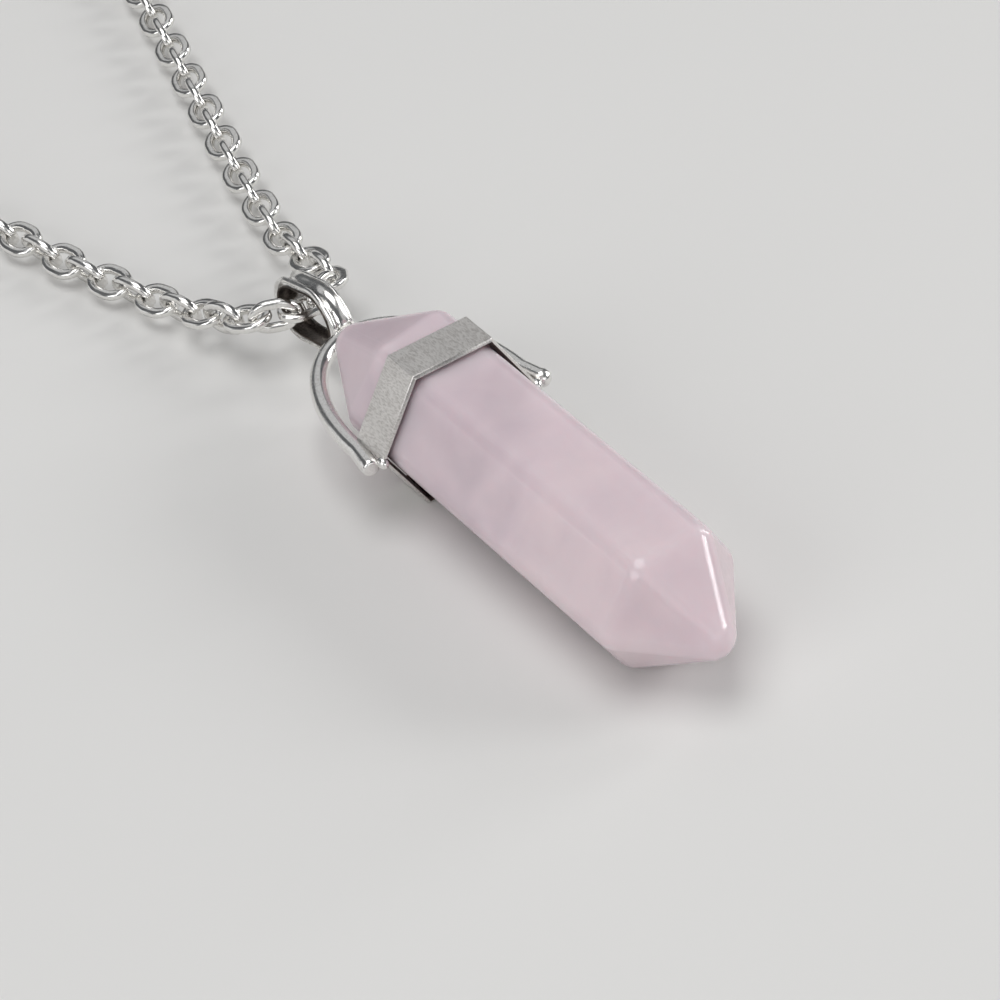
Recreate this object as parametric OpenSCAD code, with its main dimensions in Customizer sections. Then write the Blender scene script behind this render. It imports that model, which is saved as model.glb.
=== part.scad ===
// Crystal point pendant: a pink hexagonal point in a soldered setting, lying on its cable chain's loop.
// The pendant lies along Y with its lower point towards -Y, and the chain goes round behind it towards +Y.

/* [Crystal] */
// Size of the point across its corners
crystal_w = 9; // [8.8:0.05:9.05]
// Length of the six long faces, from shoulder to shoulder
crystal_body_l = 22.8; // [18:0.1:30]
// Length of the pyramid at the lower end
low_point_l = 4.45; // [3:0.05:8]
// Length of the pyramid at the end inside the arch
high_point_l = 5.8; // [3.5:0.1:5.8]
// Radius of the polished edges
edge_r = 0.9; // [0.4:0.05:1]

/* [Setting] */
// Size of the hexagonal band across its outer corners
band_w = 9.9; // [9.9:0.05:10.2]
// Width of the band along the crystal
band_l = 2.5; // [2:0.1:4]
// Thickness of the band's plates
band_t = 0.3; // [0.28:0.01:0.32]
// Bevel of the band's front edge
band_bevel = 0.16; // [0.1:0.01:0.2]
// Diameter of the arch's round wire
wire_d = 1; // [0.9:0.05:1.2]
// Distance from the band's front edge to the middle of the arch's top
arch_reach = 10.6; // [10.4:0.1:13]
// Width of the bail's strip
bail_w = 1.4; // [1.2:0.1:1.8]
// Thickness of the bail's strip
bail_t = 0.55; // [0.5:0.05:0.6]

/* [Chain] */
// Width of the loop that the chain makes on the table
loop_w = 79.5; // [70:0.5:80]
// Length of one link, outside
link_l = 3; // [2.98:0.02:3.2]
// Width of one link, outside
link_w = 2.18; // [2.16:0.02:2.2]
// Width of the flat wire that a link is made of
link_wire = 0.43; // [0.38:0.01:0.43]
// Thickness of a link
link_t = 0.46; // [0.4:0.01:0.46]
// Diameter of the closing ring, outside
clasp_d = 6; // [5:0.5:8]
// Diameter of the closing ring's wire
clasp_wire = 0.8; // [0.7:0.05:0.85]

/* [Hidden] */
$fn = 48;

rose = [0.82, 0.71, 0.73];
silver = [0.78, 0.78, 0.77];
hull_fn = 32;

// Where the pendant lies: the band's front edge rests on the table, and so does the lower shoulder
band_flat_r = band_w / 2 * cos(30);
crystal_flat_r = crystal_w / 2 * cos(30);
low_shoulder_y = -18.6;
high_shoulder_y = low_shoulder_y + crystal_body_l;

// Crystal: how far each shoulder corner lies back from the foremost one, from the right corner round
// through the top, and where the upper point's tip lies off the axis
low_setback = [0.9, 0.2, 0, 0.15, 1, 1];
high_setback = [0.4, 0, 0.5, -0.2, 0.2, 0.4];
high_tip_offset = [-0.9, 0.6];
high_edge_r = 1.3 * edge_r;
// A rounded edge lies inside the sharp one by these shares of its radius
corner_inset = 1 / cos(30);
shoulder_inset = 0.4;
tip_inset = 1.5;
lower_rest_y = low_shoulder_y + max(low_setback) + shoulder_inset * edge_r;
lean = atan((band_flat_r - crystal_flat_r) / -lower_rest_y);

// Setting: the arch is half an ellipse on two straight legs, in a plane a little below the axis. The legs
// spread a little to their ends, each a small ball with its middle here, the right one first
leg_x = 5.22;
leg_drop = 0.33;
leg_ends = [[5.6, 0.6], [-5.42, 0.75]];
ball_r = 0.52;
arch_start_y = 2;
arch_lean = -1.1;
arch_steps = 40;
wire_sides = 20;
solder_r = 0.36;
solder_at = [band_w / 2 - 0.05, 0.1, -0.15];
// Bail: the side view is drawn round three circles, [distance along the axis, height, outer radius]
bail_end = [15.7, -1.5, 1.9];
bail_crown = [13.3, -0.85, 2];
bail_foot = [11.35, -0.7, 0.55];
bail_foot_gap = [12, -0.8, 0.25];

// Chain: the loop on the table. The left strand leans out by 12.5 degrees and the right one by 15
left_out = 12.5;
right_out = 15;
loop_r = loop_w / 2;
strands_meet = [-1.1, 5.6];
axis_out = (right_out - left_out) / 2;
half_angle = (right_out + left_out) / 2;
loop_centre = strands_meet + loop_r / sin(half_angle) * [sin(axis_out), cos(axis_out)];
arc_turn = 180 + 2 * half_angle;
arc_steps = 57;
link_gap = 0.12;
clasp_r = (clasp_d - clasp_wire) / 2;
link_hole_l = link_l - 2 * link_wire;
link_hole_w = link_w - 2 * link_wire;
// From the middle of the last link to the middle of the ring's wire that it holds
last_link_reach = link_hole_l / 2 - 1.5 * link_gap - clasp_wire / 2;
// A hole's round end leaves less room for the flat wire of the next link
hole_end_loss = link_hole_w / 2 - sqrt(pow(link_hole_w / 2, 2) - pow(link_t / 2, 2));

// Height of the chain's middle when its links lie on the table, rolled by this angle
function lying_z(roll) = max(
    link_w / 2 * abs(sin(roll)) + link_t / 2 * abs(cos(roll)),
    link_w / 2 * abs(cos(roll)) + link_t / 2 * abs(sin(roll)));

// The route's points, chosen by hand: [x, y, height, roll of every other link].
// Through the bail, then along the right strand
bail_route = [[0, 15.5, 3.08, 90]];
right_route = [
    [1.1, 15.7, 3.08, 88], [2.1, 16.25, 3, 86], [2.87, 17.2, 2.73, 84], [3.27, 18.5, 2.34, 82],
    [3.4, 20, 1.94, 80], [3.5, 21.6, 1.58, 78], [3.65, 23, 1.34, 76], [3.9, 24.6, 1.2, 74],
    [4.45, 27, lying_z(72), 72], [5.2, 30, lying_z(71), 71], [6.05, 33.2, lying_z(70), 70],
    [7.8, 39.4, lying_z(70), 70], [10.9, 50.4, lying_z(70), 70], [15.8, 68.6, lying_z(62), 62],
    [25, 103, lying_z(45), 45]];
left_route = [
    [-1.1, 15.7, 3.08, 92], [-2.1, 16.25, 3, 94], [-2.85, 17.2, 2.75, 96], [-3.3, 18.5, 2.35, 98],
    [-3.65, 20, 1.88, 101], [-4.15, 22, 1.44, 104], [-4.85, 24.5, 1.17, 107],
    [-5.65, 27.2, lying_z(110), 110], [-6.5, 30.2, lying_z(110), 110], [-7.9, 36.3, lying_z(110), 110],
    [-11.3, 51.6, lying_z(114), 114], [-20.1, 91.5, lying_z(135), 135]];
// Round the far end, where the links turn on steadily, so that the last ones stand on edge at the clasp
function far_roll(share) = 45 + 90 * share;
function far_point(k) = let (
        share = k / arc_steps,
        bearing = right_out + 90 - arc_turn * share,
        roll = far_roll(share))
    [loop_centre[0] + loop_r * sin(bearing), loop_centre[1] + loop_r * cos(bearing), lying_z(roll), roll];
far_route = [for (k = [0:arc_steps]) far_point(k)];

// A smooth curve through the hand-chosen points, as a list of close points
curve_steps = 8;
function reversed(list) = [for (i = [len(list) - 1:-1:0]) list[i]];
function slice(list, from, to) = [for (i = [from:to]) list[i]];
function smooth(p0, p1, p2, p3, t) = (2 * p1 + (p2 - p0) * t + (2 * p0 - 5 * p1 + 4 * p2 - p3) * t * t
    + (3 * p1 - p0 - 3 * p2 + p3) * t * t * t) / 2;
function smooth_curve(list) = [
    for (i = [0:len(list) - 2], k = [0:curve_steps - 1])
        smooth(list[max(i - 1, 0)], list[i], list[i + 1], list[min(i + 2, len(list) - 1)], k / curve_steps),
    list[len(list) - 1]];
near_curve = smooth_curve(concat(reversed(left_route), bail_route, right_route));
bail_index = len(left_route) * curve_steps;
loop = concat(slice(near_curve, bail_index, len(near_curve) - 1), far_route, slice(near_curve, 0, bail_index));

// Distance along the loop to each of its points, and the place and roll at any distance
function xyz(p) = [p[0], p[1], p[2]];
function distances(list, i = 0, sum = 0) = i >= len(list) - 1 ? [sum]
    : concat([sum], distances(list, i + 1, sum + norm(xyz(list[i + 1]) - xyz(list[i]))));
along = distances(loop);
loop_l = along[len(along) - 1];
function column(k) = [for (i = [0:len(loop) - 1]) [along[i], loop[i][k]]];
columns = [for (k = [0:3]) column(k)];
function wrapped(s) = s < 0 ? s + loop_l : s;
function at(s) = [for (k = [0:3]) lookup(wrapped(s), columns[k])];
// An odd number of links on each side of the one in the bail, so that the last one stands on edge in the ring
turn_slack = 0.44;
turn_links = 3;
side_l = loop_l / 2 - clasp_r - last_link_reach + turn_slack;
longest_pitch = link_hole_l - 2 * hole_end_loss - 1.7 * link_gap;
links_each_side = 2 * ceil((side_l / longest_pitch - 1) / 2) + 1;
pitch = side_l / links_each_side;

// The whole is set with its middle over the origin
tip_y = low_shoulder_y - low_point_l + (tip_inset - 1) * edge_r;
whole_at = [-loop_centre[0], -(loop_centre[1] + loop_r + clasp_d / 2 + tip_y) / 2, 0];

// Six corners round the axis, from the right one through the top
function corner(k, r) = [r * cos(60 * k), r * sin(60 * k)];

module shoulder(y, way, setbacks, r) {
    for (k = [0:5]) {
        c = corner(k, crystal_w / 2 - r * corner_inset);
        translate([c[0], y - way * (setbacks[k] + shoulder_inset * r), c[1]]) sphere(r, $fn = hull_fn);
    }
}

module crystal_point() {
    hull() {
        shoulder(low_shoulder_y, -1, low_setback, edge_r);
        shoulder(high_shoulder_y, 1, high_setback, high_edge_r);
        translate([0, low_shoulder_y - low_point_l + tip_inset * edge_r, 0]) sphere(edge_r, $fn = hull_fn);
        translate([high_tip_offset[0], high_shoulder_y + high_point_l - tip_inset * high_edge_r, high_tip_offset[1]])
            sphere(high_edge_r, $fn = hull_fn);
    }
}

module hex_prism(across, from, to) {
    translate([0, from, 0]) rotate([-90, 0, 0]) cylinder(d = across, h = to - from, $fn = 6);
}

// Cuts the front edge of the band's upper plate
module bevel_cut() {
    past = 0.2;
    rotate([0, -90, 0]) linear_extrude(height = band_w, center = true) polygon([
        [band_flat_r - band_bevel - past, -past],
        [band_flat_r + past, -past],
        [band_flat_r + past, band_bevel + past]]);
}

module band() {
    past = 1;
    difference() {
        hex_prism(band_w, 0, band_l);
        hex_prism(band_w - 2 * band_t * corner_inset, -past, band_l + past);
        for (k = [0:5]) rotate([0, 60 * k, 0]) bevel_cut();
    }
}

// Rings of the arch's wire, each [x, y, direction of the wire, radius], from the right leg to the left one
function leg_way(end, side) = atan2(arch_start_y - end[1], side * leg_x - end[0]);
function ball_ring(end, side, a) = let (way = leg_way(end, side))
    [end[0] + ball_r * sin(a) * cos(way), end[1] + ball_r * sin(a) * sin(way), side > 0 ? way : way + 180,
        ball_r * cos(a)];
ball_neck = acos(wire_d / 2 / ball_r);
ball_angles = [-84, -70, -50, -25, 0, ball_neck];
arch_rings = concat(
    [for (a = ball_angles) ball_ring(leg_ends[0], 1, a)],
    [for (k = [0:arch_steps]) let (t = 180 * k / arch_steps) [
        leg_x * cos(t), arch_start_y + (arch_reach - arch_start_y) * sin(t),
        atan2((arch_reach - arch_start_y) * cos(t), -leg_x * sin(t)), wire_d / 2]],
    [for (a = reversed(ball_angles)) ball_ring(leg_ends[1], -1, a)]);
arch_points = [for (ring = arch_rings, k = [0:wire_sides - 1]) let (a = 360 * k / wire_sides) [
    ring[0] + ring[3] * cos(a) * sin(ring[2]), ring[1] - ring[3] * cos(a) * cos(ring[2]), ring[3] * sin(a)]];
arch_sides = [for (i = [0:len(arch_rings) - 2], k = [0:wire_sides - 1]) let (next = (k + 1) % wire_sides)
    [i * wire_sides + next, (i + 1) * wire_sides + next, (i + 1) * wire_sides + k, i * wire_sides + k]];
arch_ends = [
    [for (k = [wire_sides - 1:-1:0]) k],
    [for (k = [0:wire_sides - 1]) (len(arch_rings) - 1) * wire_sides + k]];

module arch() {
    translate([0, 0, -leg_drop]) rotate([arch_lean, 0, 0]) polyhedron(arch_points, concat(arch_sides, arch_ends));
}

// The outline round a row of circles, each [x, y, radius], as points on their arcs between the tangents
function tangent(a, b) = atan2(b[1] - a[1], b[0] - a[0]) - acos((a[2] - b[2]) / norm([b[0] - a[0], b[1] - a[1]]));
function arc_points(c, from, to) = let (steps = ceil((to - from) / 10)) [
    for (k = [0:steps]) let (a = from + (to - from) * k / steps) [c[0] + c[2] * cos(a), c[1] + c[2] * sin(a)]];
function turned(angle, from) = angle < from ? angle + 360 : angle;
function wrap_round(c, before, after) = let (from = tangent(before, c), to = turned(tangent(c, after), from))
    arc_points(c, from, to);
function outline(end, crown, foot) = concat(
    wrap_round(end, crown, crown), wrap_round(crown, end, foot),
    wrap_round(foot, crown, crown), wrap_round(crown, foot, end));
function thinner(c) = [c[0], c[1], c[2] - bail_t];

module bail() {
    rotate([90, 0, 90]) linear_extrude(height = bail_w, center = true) difference() {
        polygon(outline(bail_end, bail_crown, bail_foot));
        polygon(outline(thinner(bail_end), thinner(bail_crown), bail_foot_gap));
    }
}

module solder_bead(side) {
    translate([side * solder_at[0], solder_at[1], solder_at[2]]) sphere(solder_r);
}

module oval(l, w) {
    square([l - w, w], center = true);
    for (side = [-1, 1]) translate([side * (l - w) / 2, 0]) circle(d = w);
}

module link() {
    linear_extrude(height = link_t, center = true) difference() {
        oval(link_l, link_w);
        oval(link_hole_l, link_hole_w);
    }
}

// Where a link lies along the chain, counted from the one in the bail. Those that turn round in the bail
// lie a little closer together, so that their wires clear each other
function place(i) = i * pitch - turn_slack * max(-1, min(1, i / turn_links));
// The link at this place in the chain
module placed_link(i) {
    from = xyz(at(place(i - 0.5)));
    to = xyz(at(place(i + 0.5)));
    way = to - from;
    roll = at(place(i))[3] + (i % 2 == 0 ? 90 : 0);
    translate((from + to) / 2)
        rotate([roll, -atan2(way[2], norm([way[0], way[1]])), atan2(way[1], way[0])]) link();
}

module on_table() {
    translate(whole_at) translate([0, 0, band_flat_r * cos(lean)]) rotate([lean, 0, 0]) children();
}

module crystal() {
    color(rose) on_table() crystal_point();
}

module setting() {
    color(silver) on_table() {
        band();
        arch();
        bail();
        for (side = [-1, 1]) solder_bead(side);
    }
}

module chain() {
    color(silver) translate(whole_at) for (i = [-links_each_side:links_each_side]) placed_link(i);
}

module clasp() {
    color(silver) translate(whole_at) translate(xyz(at(loop_l / 2)))
        rotate_extrude() translate([clasp_r, 0]) circle(d = clasp_wire);
}

crystal();
setting();
chain();
clasp();
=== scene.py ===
# %% [markdown]
# # A crystal point pendant on its chain
# A pale pink quartz point sits in a soldered setting: a hexagonal band, a round-wire arch and a strip bail.
# A cable chain runs through the bail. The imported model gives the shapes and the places, and this lesson
# dresses them: it rebuilds each part with the soft edges of hand finishing, and gives each surface the
# material of the real one.

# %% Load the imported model
import math

import bmesh
import bpy
import numpy as np
from mathutils import Matrix, Vector


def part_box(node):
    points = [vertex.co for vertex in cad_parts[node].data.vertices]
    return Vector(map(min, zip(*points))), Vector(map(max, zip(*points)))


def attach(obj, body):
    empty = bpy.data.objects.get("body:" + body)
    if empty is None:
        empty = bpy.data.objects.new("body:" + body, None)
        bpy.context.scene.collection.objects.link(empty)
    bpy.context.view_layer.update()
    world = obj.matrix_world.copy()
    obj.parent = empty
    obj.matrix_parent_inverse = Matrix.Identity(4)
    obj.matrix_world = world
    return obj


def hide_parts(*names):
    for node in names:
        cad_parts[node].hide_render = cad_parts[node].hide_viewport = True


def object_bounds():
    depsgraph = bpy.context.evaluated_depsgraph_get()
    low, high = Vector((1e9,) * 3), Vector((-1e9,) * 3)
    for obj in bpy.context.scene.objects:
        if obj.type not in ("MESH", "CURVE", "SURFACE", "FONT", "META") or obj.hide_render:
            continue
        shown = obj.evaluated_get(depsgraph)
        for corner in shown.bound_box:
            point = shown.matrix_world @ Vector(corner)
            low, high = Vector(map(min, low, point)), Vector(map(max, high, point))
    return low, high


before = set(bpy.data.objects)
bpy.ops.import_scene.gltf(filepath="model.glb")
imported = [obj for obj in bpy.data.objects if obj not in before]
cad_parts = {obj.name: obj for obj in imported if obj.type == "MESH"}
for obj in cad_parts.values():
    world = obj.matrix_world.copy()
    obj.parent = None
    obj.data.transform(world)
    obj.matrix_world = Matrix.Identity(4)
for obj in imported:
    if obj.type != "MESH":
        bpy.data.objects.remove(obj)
cad_low, cad_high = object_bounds()
print("nodes:", sorted(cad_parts))
print("CAD box, mm:", [round(1000 * v, 1) for v in cad_low], [round(1000 * v, 1) for v in cad_high])

# %% [markdown]
# ## Where the pendant lies
# The setting and the crystal were designed along their own axis, with the origin in the band's front plane.
# The pendant lies on the table with a slight lean, because the band is wider than the crystal. The lean
# follows from their radii and from the place where the crystal's lowest long face ends at the front.
# One matrix takes a point from the pendant's own place to the table, so that every part below can be built
# in plain millimetres along the axis.

# %% Millimetres on the pendant to metres on the table
MM = 0.001
COS_30 = math.cos(math.radians(30))
BAND_W = 9.9
CRYSTAL_W = 9.0
BAND_FLAT_R = BAND_W / 2 * COS_30
CRYSTAL_FLAT_R = CRYSTAL_W / 2 * COS_30
LOW_SHOULDER_Y = -18.6
DEEPEST_SETBACK = 1.0
CAD_EDGE_INSET = 0.36
FOREMOST_REST_Y = LOW_SHOULDER_Y + DEEPEST_SETBACK + CAD_EDGE_INSET
LEAN = math.atan((BAND_FLAT_R - CRYSTAL_FLAT_R) / -FOREMOST_REST_Y)
PENDANT_AT = Vector((-2.548, -96.474, BAND_FLAT_R * math.cos(LEAN)))

to_table = Matrix.Scale(MM, 4) @ Matrix.Translation(PENDANT_AT) @ Matrix.Rotation(LEAN, 4, "X")
print("lean of the pendant, degrees:", round(math.degrees(LEAN), 2))

# %% [markdown]
# ## The camera
# The photograph looks down at the pendant from its lower left. The camera's direction and distance come from
# fitting the band's and the crystal's corners. A long lens is assumed, as is usual for small things, and a
# small roll tilts the picture.

# %% Camera
AZIMUTH, ELEVATION, ROLL = math.radians(-30.74), math.radians(39.439), math.radians(-6.917)
CAMERA_AT = Vector((-85.02, -238.12, 133.58)) * MM
SENSOR_MM, LENS_MM = 36, 144
NEAREST_M, FARTHEST_M = 0.005, 20

back = Vector((
    math.sin(AZIMUTH) * math.cos(ELEVATION),
    -math.cos(AZIMUTH) * math.cos(ELEVATION),
    math.sin(ELEVATION)))
right = Vector((math.cos(AZIMUTH), math.sin(AZIMUTH), 0))
up = back.cross(right)
rolled_right = math.cos(ROLL) * right + math.sin(ROLL) * up
rolled_up = math.cos(ROLL) * up - math.sin(ROLL) * right
facing = Matrix((rolled_right, rolled_up, back)).transposed().to_4x4()

camera_data = bpy.data.cameras.new("camera")
camera_data.sensor_width = SENSOR_MM
camera_data.lens = LENS_MM
camera_data.clip_start = NEAREST_M
camera_data.clip_end = FARTHEST_M
camera = bpy.data.objects.new("camera", camera_data)
bpy.context.scene.collection.objects.link(camera)
camera.matrix_world = Matrix.Translation(CAMERA_AT) @ facing
bpy.context.scene.camera = camera
print("camera to pendant, mm:", round((CAMERA_AT / MM - PENDANT_AT).length))

# %% [markdown]
# ## Helpers for materials
# A shader is a small network of nodes. One function adds a node, sets its values and links its inputs.
# Another turns the hex colour that a colour picker shows into the linear values that a shader needs. The
# noise that tints a surface goes through a colour ramp, so the ramp's stops are given as a setting too.

# %% Node and colour helpers
def linear(hex_colour):
    """The linear colour of an sRGB hex value, by the curve of the sRGB standard."""
    parts = [int(hex_colour[i:i + 2], 16) / 255 for i in (1, 3, 5)]
    return tuple(c / 12.92 if c <= 0.04045 else ((c + 0.055) / 1.055) ** 2.4 for c in parts) + (1.0,)


def set_stops(elements, stops):
    """Fills a colour ramp, which starts with two stops, with these (place, hex colour)."""
    for i, (place, colour) in enumerate(stops):
        element = elements[i] if i < len(elements) else elements.new(place)
        element.position = place
        element.color = linear(colour)


def node(tree, kind, settings=None, **links):
    """Adds a node. settings holds its properties and its inputs' values, and links its inputs' sources.

    A link is named for its input, with _ for a space, or i6 for input number 6.
    """
    new = tree.nodes.new(kind)
    for name, value in (settings or {}).items():
        if name == "stops":
            set_stops(new.color_ramp.elements, value)
        elif hasattr(new, name):
            setattr(new, name, value)
        else:
            new.inputs[name].default_value = value
    for name, source in links.items():
        key = int(name[1:]) if name[0] == "i" and name[1:].isdigit() else name.replace("_", " ")
        tree.links.new(source, new.inputs[key])
    return new


def new_material(name):
    """An empty material and its node tree."""
    material = bpy.data.materials.new(name)
    material.use_nodes = True
    material.node_tree.nodes.clear()
    return material, material.node_tree


print("middle grey #808080 in linear light:", round(linear("#808080")[0], 3))

# %% [markdown]
# ## Rose quartz, cut and polished
# Rose quartz is a cloudy pink quartz. Its colour comes from very fine fibres inside, which scatter the light,
# so the stone glows softly and has no hard shadow side. A wheel polished it to a gloss, and left a faint
# grain and a slight wave. Subsurface scattering gives the glow, two sizes of noise give the clouds and the
# veils, and two bumps give the wave and the grain. Real polish marks are finer than the 0.3 mm used here,
# which is as coarse as the grain needs to be to show. Quartz has an IOR of 1.544.

# %% Rose quartz material
CLOUD_MM, VEIL_MM, SPECK_MM, WAVE_MM = 8.0, 3.0, 0.3, 4.0
VEIL_SHARE = 0.3
GLOW_MM = 2.6
QUARTZ_IOR = 1.544


def rose_quartz():
    """Clouds and veils in the colour, scattering below it, a slow wave and a fine grain on it."""
    material, tree = new_material("polished_rose_quartz")
    place = node(tree, "ShaderNodeTexCoord").outputs["Object"]
    clouds = node(tree, "ShaderNodeTexNoise",
                  {"Scale": 1 / (CLOUD_MM * MM), "Detail": 2.0, "Roughness": 0.5, "Distortion": 0.4},
                  Vector=place)
    veils = node(tree, "ShaderNodeTexNoise",
                 {"Scale": 1 / (VEIL_MM * MM), "Detail": 3.0, "Roughness": 0.5, "Distortion": 0.3},
                 Vector=place)
    mist = node(tree, "ShaderNodeValToRGB",
                {"stops": [(0.34, "#CEBEC6"), (0.47, "#DFCED5"), (0.68, "#E3D2D7")]},
                Fac=clouds.outputs["Fac"])
    veil = node(tree, "ShaderNodeValToRGB", {"stops": [(0.35, "#D6C6CD"), (0.65, "#E9D9DC")]},
                Fac=veils.outputs["Fac"])
    colour = node(tree, "ShaderNodeMix", {"data_type": "RGBA", "Factor": VEIL_SHARE},
                  i6=mist.outputs["Color"], i7=veil.outputs["Color"])
    wave = node(tree, "ShaderNodeTexNoise", {"Scale": 1 / (WAVE_MM * MM), "Detail": 1.0}, Vector=place)
    specks = node(tree, "ShaderNodeTexNoise", {"Scale": 1 / (SPECK_MM * MM), "Detail": 4.0}, Vector=place)
    gloss = node(tree, "ShaderNodeMapRange",
                 {"From Min": 0.35, "From Max": 0.7, "To Min": 0.12, "To Max": 0.24},
                 Value=specks.outputs["Fac"])
    slow = node(tree, "ShaderNodeBump", {"Strength": 0.2, "Distance": 0.1 * MM}, Height=wave.outputs["Fac"])
    fine = node(tree, "ShaderNodeBump", {"Strength": 0.1, "Distance": 0.01 * MM},
                Height=specks.outputs["Fac"], Normal=slow.outputs["Normal"])
    shader = node(tree, "ShaderNodeBsdfPrincipled",
                  {"IOR": QUARTZ_IOR, "Subsurface Weight": 0.85, "Subsurface Scale": GLOW_MM * MM,
                   "Subsurface Radius": (1.0, 0.8, 0.82), "Transmission Weight": 0.06},
                  Base_Color=colour.outputs[2], Roughness=gloss.outputs[0], Normal=fine.outputs["Normal"])
    node(tree, "ShaderNodeOutputMaterial", Surface=shader.outputs[0])
    return material


# The polish shows as clear highlights on the edges, and the scattering keeps the shaded faces pale.
quartz = rose_quartz()
print("made", quartz.name)

# %% [markdown]
# ## Plated brass, brushed, satin and bright
# The setting and the chain are a silver-coloured metal, such as rhodium-plated brass. Rhodium is a little
# darker and cooler than silver. The band's plates were brushed along one way and kept their fine pits, the
# arch and the bail were tumbled to a satin, and the links were rolled bright. The inner faces are a little
# duller, and their dark colour is painted shade. One recipe makes them all: a metal shader, a noise that is
# stretched along the grain, for the tint and the fine bump, and slow waves for the roughness and the uneven
# surface. Real grain is finer than the 0.08 to 0.12 mm used here, which is as coarse as it needs to be to
# show.

# %% Plated metal material
def plated_metal(name, colour, roughness, grain_mm, stretch, grain_depth, wave_mm, wave_depth):
    """colour is (high, low) in the grain, roughness (least, most). A small stretch lengthens the grain."""
    material, tree = new_material(name)
    place = node(tree, "ShaderNodeTexCoord").outputs["Object"]
    stretched = node(tree, "ShaderNodeMapping", {"Scale": stretch}, Vector=place)
    grain = node(tree, "ShaderNodeTexNoise", {"Scale": 1 / (grain_mm * MM), "Detail": 3.0, "Roughness": 0.6},
                 Vector=stretched.outputs[0])
    waves = node(tree, "ShaderNodeTexNoise", {"Scale": 1 / (wave_mm * MM), "Detail": 2.0}, Vector=place)
    tint = node(tree, "ShaderNodeValToRGB", {"stops": [(0.36, colour[1]), (0.56, colour[0])]},
                Fac=grain.outputs["Fac"])
    rough = node(tree, "ShaderNodeMapRange",
                 {"From Min": 0.35, "From Max": 0.68, "To Min": roughness[0], "To Max": roughness[1]},
                 Value=waves.outputs["Fac"])
    waved = node(tree, "ShaderNodeBump", {"Strength": 0.5, "Distance": wave_depth * MM},
                 Height=waves.outputs["Fac"])
    grained = node(tree, "ShaderNodeBump", {"Strength": 0.6, "Distance": grain_depth * MM},
                   Height=grain.outputs["Fac"], Normal=waved.outputs["Normal"])
    shader = node(tree, "ShaderNodeBsdfPrincipled", {"Metallic": 1.0}, Base_Color=tint.outputs["Color"],
                  Roughness=rough.outputs[0], Normal=grained.outputs["Normal"])
    node(tree, "ShaderNodeOutputMaterial", Surface=shader.outputs[0])
    return material


# Brushing and its pits break a lamp's image up, so the band looks grey and even.
brushed = plated_metal("brushed_rhodium_plate", ("#E4E1DE", "#C6C2BE"), (0.28, 0.42), grain_mm=0.08,
                       stretch=(1, 0.3, 1), grain_depth=0.012, wave_mm=1.2, wave_depth=0.004)
# Tumbling leaves a fine satin, so the wires show long, soft-edged highlights.
satin = plated_metal("tumbled_rhodium_plate", ("#F4F3F1", "#E6E4E1"), (0.18, 0.28), grain_mm=0.12,
                     stretch=(1, 1, 1), grain_depth=0.003, wave_mm=0.8, wave_depth=0.006)
# The recesses are a little duller, and their dark colour is painted shade, so the edges of the sheet stand
# out in front of them.
painted_shade = plated_metal("painted_shade_rhodium_plate", ("#6A625C", "#3A3431"), (0.35, 0.5), grain_mm=0.1,
                          stretch=(1, 1, 1), grain_depth=0.004, wave_mm=0.8, wave_depth=0.006)
# Rolled wire is the smoothest of them, so the links sparkle.
rolled = plated_metal("rolled_rhodium_plate", ("#F4F3F1", "#E8E6E2"), (0.14, 0.24), grain_mm=0.1,
                      stretch=(1, 1, 1), grain_depth=0.003, wave_mm=0.5, wave_depth=0.006)
print("made", brushed.name, satin.name, painted_shade.name, rolled.name)

# %% [markdown]
# ## Helpers for pieces
# Each piece is a mesh made from points and faces, and one matrix lays it on the table. The piece then rides
# on the model's one body and stands for its CAD node. Most pieces are sweeps, with rings of points that
# follow one another, so one function joins such rings with faces.

# %% Piece helpers
def new_piece(name, points, faces, matrix, material, stands_for):
    """A smooth-shaded mesh on the one body. It replaces a CAD node and fills a material slot."""
    mesh = bpy.data.meshes.new(name)
    mesh.from_pydata([tuple(p) for p in points], [], faces)
    mesh.transform(matrix)
    mesh.polygons.foreach_set("use_smooth", [True] * len(mesh.polygons))
    mesh.materials.append(material)
    piece = bpy.data.objects.new(name, mesh)
    bpy.context.scene.collection.objects.link(piece)
    outward(piece)
    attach(piece, "root")
    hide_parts(stands_for)
    return piece


def outward(piece):
    """Turns the faces' fronts to the outside."""
    shape = bmesh.new()
    shape.from_mesh(piece.data)
    bmesh.ops.recalc_face_normals(shape, faces=shape.faces)
    shape.to_mesh(piece.data)
    shape.free()


def soften(piece, width_mm, steps, angle):
    """Rounds the edges that are sharper than this angle, and keeps the flats flat in the shading."""
    bevel = piece.modifiers.new("rounded_edges", "BEVEL")
    bevel.width, bevel.segments = width_mm * MM, steps
    bevel.limit_method, bevel.angle_limit = "ANGLE", math.radians(angle)
    weighted = piece.modifiers.new("flat_shading", "WEIGHTED_NORMAL")
    weighted.keep_sharp = True


def ring_faces(rings, sides, closed=False):
    """Four-sided faces between rings of points that follow one another."""
    pairs = [(i, (i + 1) % rings) for i in range(rings if closed else rings - 1)]
    return [(a * sides + k, a * sides + (k + 1) % sides, b * sides + (k + 1) % sides, b * sides + k)
            for a, b in pairs for k in range(sides)]


# %% [markdown]
# ## The crystal
# A cutter grinds the point's six long faces and six small ones at each end, and then softens the edges. The
# corners do not meet evenly, which shows that it was cut by hand. A ball at each corner and one hull round
# all the balls gives flat faces and round edges at once. It needs no bevel that could go wrong at a corner.

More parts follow.
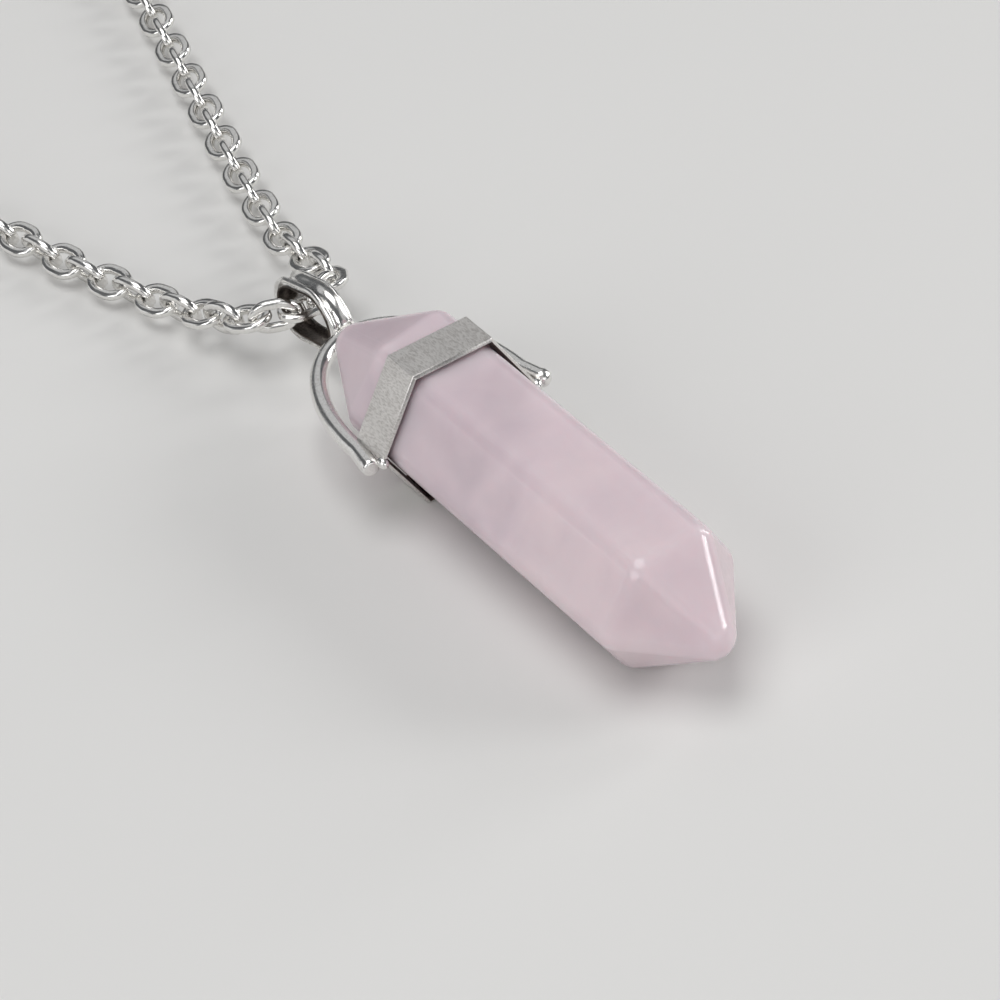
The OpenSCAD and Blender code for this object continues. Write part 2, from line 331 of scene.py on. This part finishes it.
# %% Crystal
EDGE_R = 1.3
LOW_SETBACK = (0.9, 0.2, 0, 0.15, 1, 1)
HIGH_SETBACK = (0.4, -0.4, 0.2, -0.2, 0.2, 0.4)
BODY_L, LOW_POINT_L, HIGH_POINT_L = 22.8, 4.65, 5.87
HIGH_TIP_X, HIGH_TIP_Z = -0.9, 0.6
CORNER_INSET, SHOULDER_INSET, TIP_INSET = 1 / COS_30, 0.4, 1.5
BALL_SUBDIVISIONS = 5


def hexagon_corner(k, radius):
    """x and z of corner k, counted from the right."""
    return radius * math.cos(math.radians(60 * k)), radius * math.sin(math.radians(60 * k))


def crystal_balls():
    """The middles of the balls at the shoulders' corners and at the two tips."""
    high_shoulder_y = LOW_SHOULDER_Y + BODY_L
    balls = []
    for y, way, setback in ((LOW_SHOULDER_Y, -1, LOW_SETBACK), (high_shoulder_y, 1, HIGH_SETBACK)):
        for k in range(6):
            x, z = hexagon_corner(k, CRYSTAL_W / 2 - EDGE_R * CORNER_INSET)
            balls.append((x, y - way * (setback[k] + SHOULDER_INSET * EDGE_R), z))
    balls.append((0, LOW_SHOULDER_Y - LOW_POINT_L + TIP_INSET * EDGE_R, 0))
    balls.append((HIGH_TIP_X, high_shoulder_y + HIGH_POINT_L - TIP_INSET * EDGE_R, HIGH_TIP_Z))
    return balls


def crystal_shape(balls):
    """The hull round the balls' points, without the points that end up inside it."""
    shape = bmesh.new()
    for x, y, z in balls:
        ball = bmesh.new()
        bmesh.ops.create_icosphere(ball, subdivisions=BALL_SUBDIVISIONS, radius=EDGE_R)
        for vert in ball.verts:
            shape.verts.new((x + vert.co.x, y + vert.co.y, z + vert.co.z))
        ball.free()
    hull = bmesh.ops.convex_hull(shape, input=shape.verts)
    inside = set(hull["geom_interior"]) | set(hull["geom_unused"])
    bmesh.ops.delete(shape, geom=[g for g in inside if isinstance(g, bmesh.types.BMVert)], context="VERTS")
    shape.verts.index_update()
    points = [v.co.copy() for v in shape.verts]
    faces = [[v.index for v in f.verts] for f in shape.faces]
    shape.free()
    return points, faces


def ball_normal(point, balls):
    """The polished surface's direction at a point: away from the ball on which the point lies."""
    middle = min(balls, key=lambda ball: abs((point - Vector(ball)).length - EDGE_R))
    return (point - Vector(middle)).normalized()


balls = crystal_balls()
points, faces = crystal_shape(balls)
crystal = new_piece("crystal_point", points, faces, to_table, quartz, "crystal")
turn = to_table.to_3x3().normalized()
normals = [turn @ ball_normal(point, balls) for point in points]
crystal.data.normals_split_custom_set_from_vertices(normals)
print("crystal:", len(points), "points,", len(faces), "faces")

# %% [markdown]
# ## The band
# The band is a strip of sheet metal that was scored, folded into a hexagon and soldered shut. Its front edge
# was filed to a bevel, which catches the light as a bright line. Rings of six corners, one for each edge of
# the strip's section, give the folded sheet exactly. A small bevel then rounds the folds as bending does. The
# inner bevel and the inner wall, in the recess by the crystal, get the dark metal as painted shade.

# %% Band
BAND_L, BAND_T, BAND_BEVEL, INNER_BEVEL = 2.5, 0.3, 0.16, 0.2
FOLD_R, FOLD_STEPS, FOLD_ANGLE = 0.035, 3, 20
INNER_SIDES = (0, 4)


def band_shape():
    """Hexagons, one for each edge of the strip's section. Sides 0 and 4 of the section face the crystal."""
    outer = BAND_FLAT_R
    section = [(outer - BAND_T, INNER_BEVEL), (outer - BAND_BEVEL, 0), (outer, BAND_BEVEL), (outer, BAND_L),
               (outer - BAND_T, BAND_L)]
    points = []
    for flat_r, y in section:
        for k in range(6):
            x, z = hexagon_corner(k, flat_r * CORNER_INSET)
            points.append((x, y, z))
    return points, ring_faces(len(section), 6, closed=True)


points, faces = band_shape()
band = new_piece("band", points, faces, to_table, brushed, "setting")
# The inner bevel and the inner wall get the dark metal, which is painted shade for the recess by the crystal.
band.data.materials.append(painted_shade)
for face in band.data.polygons:
    face.material_index = 1 if face.index // 6 in INNER_SIDES else 0
soften(band, FOLD_R, FOLD_STEPS, FOLD_ANGLE)
print("band:", len(faces), "faces before its folds are rounded")

# %% [markdown]
# ## The arch
# The arch is one round wire, bent over a former and soldered to the band at both sides. The right end melted
# into a small ball, and the left one is blunter. A ring of points is carried along the bend, and it shrinks
# to close each end.

# %% Arch
WIRE_R, BALL_R, LEG_X, LEG_DROP = 0.5, 0.52, 5.22, 0.33
LEG_ENDS, ARCH_START_Y, ARCH_REACH = ((5.6, 0.6), (-5.42, 0.75)), 2.0, 10.6
ARCH_LEAN = math.radians(-1.1)
WIRE_SIDES, ARCH_STEPS = 24, 72
END_ANGLES = (-88, -78, -65, -50, -32, -12, 4, 16)
RIGHT_ROUNDNESS, LEFT_ROUNDNESS = 1, 0.2


def end_rings(end, side, roundness):
    """Rings that close one leg at this end point. Roundness 1 gives a ball, and less a flatter end."""
    way = math.atan2(ARCH_START_Y - end[1], side * LEG_X - end[0])
    ring_way = way if side > 0 else way + math.pi
    rings = []
    for a in END_ANGLES:
        along = BALL_R * math.sin(math.radians(a))
        r = BALL_R * math.cos(math.radians(a)) ** roundness
        rings.append((end[0] + along * math.cos(way), end[1] + along * math.sin(way), ring_way,
                      max(r, WIRE_R) if a > 0 else r))
    return rings


def arch_rings():
    """Rings along the wire from the right end to the left one, each (x, y, way, radius)."""
    rise = ARCH_REACH - ARCH_START_Y
    bend = []
    for i in range(ARCH_STEPS + 1):
        t = math.pi * i / ARCH_STEPS
        way = math.atan2(rise * math.cos(t), -LEG_X * math.sin(t))
        bend.append((LEG_X * math.cos(t), ARCH_START_Y + rise * math.sin(t), way, WIRE_R))
    right_end = end_rings(LEG_ENDS[0], 1, RIGHT_ROUNDNESS)
    left_end = end_rings(LEG_ENDS[1], -1, LEFT_ROUNDNESS)
    return right_end + bend + left_end[::-1]


def arch_shape():
    """Round rings along the wire, with a face that closes each end."""
    rings = arch_rings()
    points = []
    for x, y, way, r in rings:
        for k in range(WIRE_SIDES):
            a = 2 * math.pi * k / WIRE_SIDES
            aside = r * math.cos(a)
            points.append((x + aside * math.sin(way), y - aside * math.cos(way), r * math.sin(a)))
    faces = ring_faces(len(rings), WIRE_SIDES)
    last = (len(rings) - 1) * WIRE_SIDES
    return points, faces + [list(range(WIRE_SIDES)), [last + k for k in range(WIRE_SIDES)]]


points, faces = arch_shape()
on_arch = to_table @ Matrix.Translation((0, 0, -LEG_DROP)) @ Matrix.Rotation(ARCH_LEAN, 4, "X")
new_piece("arch", points, faces, on_arch, satin, "setting")
print("arch:", len(faces), "faces")

# %% [markdown]
# ## The bail
# The bail is a strip that was bent into an eye round a rod, and its foot was soldered on top of the arch. Its
# side view is the outline round three circles. For each direction from the middle of the eye, the outline
# lies as far out as the outermost of the circles that slide from one to the next. The outer rims are well
# rounded and the inner ones a little, and the inner side gets the dark metal as painted shade, like the
# band's.

# %% Bail
BAIL_W, BAIL_T = 1.4, 0.55
BAIL_END, BAIL_CROWN = (15.7, -1.5, 1.9), (13.3, -0.85, 2.0)
BAIL_FOOT, FOOT_GAP = (11.35, -0.7, 0.55), (12, -0.8, 0.25)
EYE = (13.9, -1.05)
BAIL_STEPS, SLIDE_STEPS, SMOOTH_TIMES = 160, 60, 50
RIM_R, INNER_RIM_R, RIM_STEPS = 0.26, 0.1, 4


def outermost(angle, circles):
    """How far the outline round a row of circles (y, z, radius) lies from the eye's middle."""
    way = (math.cos(angle), math.sin(angle))
    reach = 0
    for one, next_one in zip(circles, circles[1:]):
        for t in np.linspace(0, 1, SLIDE_STEPS):
            y, z, r = (a + (b - a) * t for a, b in zip(one, next_one))
            along = (y - EYE[0]) * way[0] + (z - EYE[1]) * way[1]
            aside = (y - EYE[0]) * way[1] - (z - EYE[1]) * way[0]
            if abs(aside) < r:
                reach = max(reach, along + math.sqrt(r * r - aside * aside))
    return reach


def thinner(circle):
    """The same circle on the strip's inner face."""
    return circle[0], circle[1], circle[2] - BAIL_T


def smooth(row):
    """Evens out a closed row of numbers."""
    for _ in range(SMOOTH_TIMES):
        row = [(row[i - 1] + 2 * row[i] + row[(i + 1) % len(row)]) / 4 for i in range(len(row))]
    return row


def strip_section():
    """Points round the section: (x, 0 for the outer face or 1 for the inner one, depth into the metal)."""
    corners = ((1, 0, RIM_R), (-1, 0, RIM_R), (-1, 1, INNER_RIM_R), (1, 1, INNER_RIM_R))
    section = []
    for corner, (side, inner, r) in enumerate(corners):
        for k in range(RIM_STEPS + 1):
            share = k / RIM_STEPS if corner % 2 == 1 else 1 - k / RIM_STEPS
            a = math.pi / 2 * share
            section.append((side * (BAIL_W / 2 - r * (1 - math.cos(a))), inner, r * (1 - math.sin(a))))
    return section


def bail_shape():
    """The section, carried round the eye between the outer and the inner outline."""
    section = strip_section()
    outer_row = (BAIL_END, BAIL_CROWN, BAIL_FOOT)
    inner_row = (thinner(BAIL_END), thinner(BAIL_CROWN), FOOT_GAP)
    angles = [2 * math.pi * i / BAIL_STEPS for i in range(BAIL_STEPS)]
    outs = smooth([outermost(a, outer_row) for a in angles])
    inns = smooth([outermost(a, inner_row) for a in angles])
    points = []
    for angle, out, inn in zip(angles, outs, inns):
        for x, inner, depth in section:
            reach = inn + depth if inner else out - depth
            points.append((x, EYE[0] + reach * math.cos(angle), EYE[1] + reach * math.sin(angle)))
    return points, ring_faces(BAIL_STEPS, len(section), closed=True)


points, faces = bail_shape()
bail = new_piece("bail", points, faces, to_table, satin, "setting")
# The inside of the eye gets the dark metal, which is painted shade.
bail.data.materials.append(painted_shade)
section_sides = len(strip_section())
inner_sides = range(section_sides // 2, section_sides - 1)
for face in bail.data.polygons:
    face.material_index = 1 if face.index % section_sides in inner_sides else 0
print("bail:", len(faces), "faces")

# %% [markdown]
# ## The solder
# A small bead of solder joins each leg to the band's corner. It is a drop that wetted both parts.

# %% Solder beads
BEAD_R, BEAD_SUBDIVISIONS = 0.34, 3
BEAD_WIDTH, BEAD_LENGTH = 0.9, 1.15
BEAD_INSET, BEAD_Y, BEAD_Z = 0.05, 0.1, -0.15


def solder_bead(name, side):
    """A drop, a little narrower and longer than a ball, at the band's corner on this side."""
    shape = bmesh.new()
    bmesh.ops.create_icosphere(shape, subdivisions=BEAD_SUBDIVISIONS, radius=BEAD_R)
    middle = Vector((side * (BAND_W / 2 - BEAD_INSET), BEAD_Y, BEAD_Z))
    points = [middle + Vector((v.co.x * BEAD_WIDTH, v.co.y * BEAD_LENGTH, v.co.z)) for v in shape.verts]
    faces = [[v.index for v in f.verts] for f in shape.faces]
    shape.free()
    return new_piece(name, points, faces, to_table, satin, "setting")


solder = [solder_bead("solder_right", 1), solder_bead("solder_left", -1)]
print("solder beads:", len(solder))

# %% [markdown]
# ## The chain
# A machine forms each link from flat wire, closes it through the one before, and rolls the chain so that the
# links' faces are flat and their edges are soft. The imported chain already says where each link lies. The
# lesson finds each of its loose parts, takes its middle and its three main directions, and puts a link with
# rounded edges there. Nothing about the chain's route has to be repeated here.

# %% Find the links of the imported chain
SAME_POINT_M = 1e-6


def loose_parts(node_object):
    """The points of each separate solid in the mesh of a CAD node."""
    shape = bmesh.new()
    shape.from_mesh(node_object.data)
    bmesh.ops.remove_doubles(shape, verts=shape.verts, dist=SAME_POINT_M)
    shape.verts.ensure_lookup_table()
    seen, parts = set(), []
    for start in shape.verts:
        if start.index in seen:
            continue
        part, queue = [], [start]
        seen.add(start.index)
        while queue:
            vert = queue.pop()
            part.append(vert.co[:])
            for edge in vert.link_edges:
                other = edge.other_vert(vert)
                if other.index not in seen:
                    seen.add(other.index)
                    queue.append(other)
        parts.append(np.array(part))
    shape.free()
    return parts


def link_place(part):
    """The matrix that lays a flat link, long in x and wide in y, where this part of the chain is."""
    middle = part.mean(0)
    directions = np.linalg.svd(part - middle, full_matrices=False)[2]
    if np.linalg.det(directions) < 0:
        directions[2] = -directions[2]
    spans = (part - middle) @ directions.T
    middle = middle + ((spans.max(0) + spans.min(0)) / 2) @ directions
    matrix = Matrix([list(row) for row in directions.T]).to_4x4()
    matrix.translation = Vector(middle)
    return matrix, spans.max(0) - spans.min(0)


parts = loose_parts(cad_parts["chain"])
places = [link_place(part) for part in parts]
spans = np.array([span for _, span in places]) / MM
print("links:", len(parts), "sizes, mm:", spans.min(0).round(2), spans.max(0).round(2))

# %% [markdown]
# ## One link, at every place
# A bent wire springs back a little, so a link is neither a slot nor an oval. Its middle line is halfway
# between the two. The rolled wire is a rectangle with its corners cut, carried along that line. Weighted
# normals keep the wide faces flat in the shading, so that the cut corners shine as thin lines. One mesh holds
# all the links, which is quick to draw.

# %% Build the links
LINK_L, LINK_W, LINK_WIRE, LINK_T = 3.0, 2.18, 0.54, 0.46
LINK_STEPS = 36
SOFT_MM = 0.1
OVAL_SHARE = 0.5
FLAT_WEIGHT = 80


def link_path():
    """Points on the middle line of the flat wire, between a slot's and an oval's, with the way out."""
    half_l, half_w = (LINK_L - LINK_WIRE) / 2, (LINK_W - LINK_WIRE) / 2
    path = []
    for i in range(LINK_STEPS):
        a = 2 * math.pi * (i + 0.5) / LINK_STEPS
        straight = math.copysign(half_l - half_w, math.cos(a))
        slot = Vector((straight + half_w * math.cos(a), half_w * math.sin(a)))
        oval = Vector((half_l * math.cos(a), half_w * math.sin(a)))
        slot_out = Vector((math.cos(a), math.sin(a)))
        oval_out = Vector((half_w * math.cos(a), half_l * math.sin(a))).normalized()
        point, out = slot.lerp(oval, OVAL_SHARE), slot_out.lerp(oval_out, OVAL_SHARE).normalized()
        path.append((point.x, point.y, out.x, out.y))
    return path


def link_shape():
    """One link of flat wire, whose section is a rectangle with its corners cut."""
    w, t, c = LINK_WIRE / 2, LINK_T / 2, SOFT_MM
    section = [(w, c - t), (w, t - c), (w - c, t), (c - w, t),
               (-w, t - c), (-w, c - t), (c - w, -t), (w - c, -t)]
    points = []
    for x, y, out_x, out_y in link_path():
        points += [(x + out_x * s, y + out_y * s, z) for s, z in section]
    return np.array(points), ring_faces(LINK_STEPS, len(section), closed=True)


def chain_shape():
    """One link, copied to each place."""
    one, one_faces = link_shape()
    points, faces = [], []
    for matrix, _ in places:
        start = len(points)
        turn = np.array(matrix.to_3x3())
        points += (one * MM @ turn.T + np.array(matrix.translation)).tolist()
        faces += [[start + i for i in face] for face in one_faces]
    return points, faces


points, faces = chain_shape()
chain = new_piece("cable_chain", points, faces, Matrix.Identity(4), rolled, "chain")
chain.modifiers.new("flat_shading", "WEIGHTED_NORMAL").weight = FLAT_WEIGHT
print("chain:", len(faces), "faces")

# %% [markdown]
# ## The closing ring
# Behind the neck the chain closes with one plain round ring. The photograph does not show it, so it stays
# plain. Rings of points round its wire make it.

# %% Clasp
CLASP_R, CLASP_WIRE_R = 2.6, 0.4
CLASP_STEPS, CLASP_SIDES = 48, 16


def clasp_shape():
    """Rings of points round the wire, one after another round the clasp."""
    points = []
    for i in range(CLASP_STEPS):
        a = 2 * math.pi * i / CLASP_STEPS
        for k in range(CLASP_SIDES):
            b = 2 * math.pi * k / CLASP_SIDES
            r = CLASP_R + CLASP_WIRE_R * math.cos(b)
            points.append((r * math.cos(a), r * math.sin(a), CLASP_WIRE_R * math.sin(b)))
    return points, ring_faces(CLASP_STEPS, CLASP_SIDES, closed=True)


clasp_low, clasp_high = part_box("clasp")
points, faces = clasp_shape()
at_clasp = Matrix.Translation((clasp_low + clasp_high) / 2) @ Matrix.Scale(MM, 4)
new_piece("clasp_ring", points, faces, at_clasp, satin, "clasp")
print("clasp:", len(faces), "faces")

# %% [markdown]
# ## The floor
# A plain pale floor carries the pendant, a hair below it so that the two never share a plane. It is matt, so
# that nothing is mirrored in it and the pendant's soft shadow is all that it shows.

# %% Floor
FLOOR_HALF_M, FLOOR_GAP_MM = 1.5, 0.02


def pale_floor():
    """A matt board shows the soft shadows and no reflections."""
    material, tree = new_material("matt_pale_board")
    shader = node(tree, "ShaderNodeBsdfPrincipled", {"Base Color": linear("#E3E2E0"), "Roughness": 0.7})
    node(tree, "ShaderNodeOutputMaterial", Surface=shader.outputs[0])
    mesh = bpy.data.meshes.new("floor")
    z = min(0.0, cad_low[2]) - FLOOR_GAP_MM * MM
    corners = [(x * FLOOR_HALF_M, y * FLOOR_HALF_M, z) for x, y in ((-1, -1), (1, -1), (1, 1), (-1, 1))]
    mesh.from_pydata(corners, [], [(0, 1, 2, 3)])
    mesh.materials.append(material)
    floor = bpy.data.objects.new("floor", mesh)
    bpy.context.scene.collection.objects.link(floor)
    return floor


floor = pale_floor()
print("floor at z, mm:", round(floor.data.vertices[0].co.z / MM, 3))

# %% [markdown]
# ## The lights
# Metal shows little of its own: it shows what stands round it, so the lights are large and soft, and the room
# behind them is dim. The bright and the dark lines on the wire come from that. One smaller lamp at the right
# front draws the bright streak down the edge of the crystal's lower point.

# %% Lights
def soft_light(name, place_mm, size_mm, power):
    """A white rectangle of light that faces the pendant. Its place is counted from below the pendant."""
    data = bpy.data.lights.new(name, "AREA")
    data.shape = "RECTANGLE"
    data.size, data.size_y = size_mm[0] * MM, size_mm[1] * MM
    data.energy = power
    light = bpy.data.objects.new(name, data)
    bpy.context.scene.collection.objects.link(light)
    place = (Vector(place_mm) + Vector((PENDANT_AT.x, PENDANT_AT.y, 0))) * MM
    target = PENDANT_AT * MM
    facing = (place - target).to_track_quat("Z", "Y").to_matrix().to_4x4()
    light.matrix_world = Matrix.Translation(place) @ facing
    return light


lights = [
    soft_light("overhead_softbox", (-60, 40, 450), (380, 300), 0.95),
    soft_light("left_softbox", (-420, -100, 240), (300, 300), 0.65),
    soft_light("front_fill", (-40, -430, 150), (340, 200), 0.3),
    soft_light("camera_card", (-250, -410, 400), (420, 320), 0.16),
    soft_light("back_card", (130, 420, 370), (520, 320), 0.22),
    soft_light("left_back_card", (-400, 350, 90), (340, 200), 0.14),
    soft_light("right_strip", (400, 10, 135), (70, 320), 0.4),
    soft_light("right_front_lamp", (350, -197, 207), (140, 140), 0.5),
]

world = bpy.data.worlds.new("dim_room")
bpy.context.scene.world = world
world.use_nodes = True
world.node_tree.nodes.clear()
background = node(world.node_tree, "ShaderNodeBackground",
                  {"Color": linear("#B9BCC0"), "Strength": 0.2})
node(world.node_tree, "ShaderNodeOutputWorld", Surface=background.outputs[0])
bpy.context.scene.view_settings.view_transform = "Standard"
print("lights:", [light.name for light in lights])
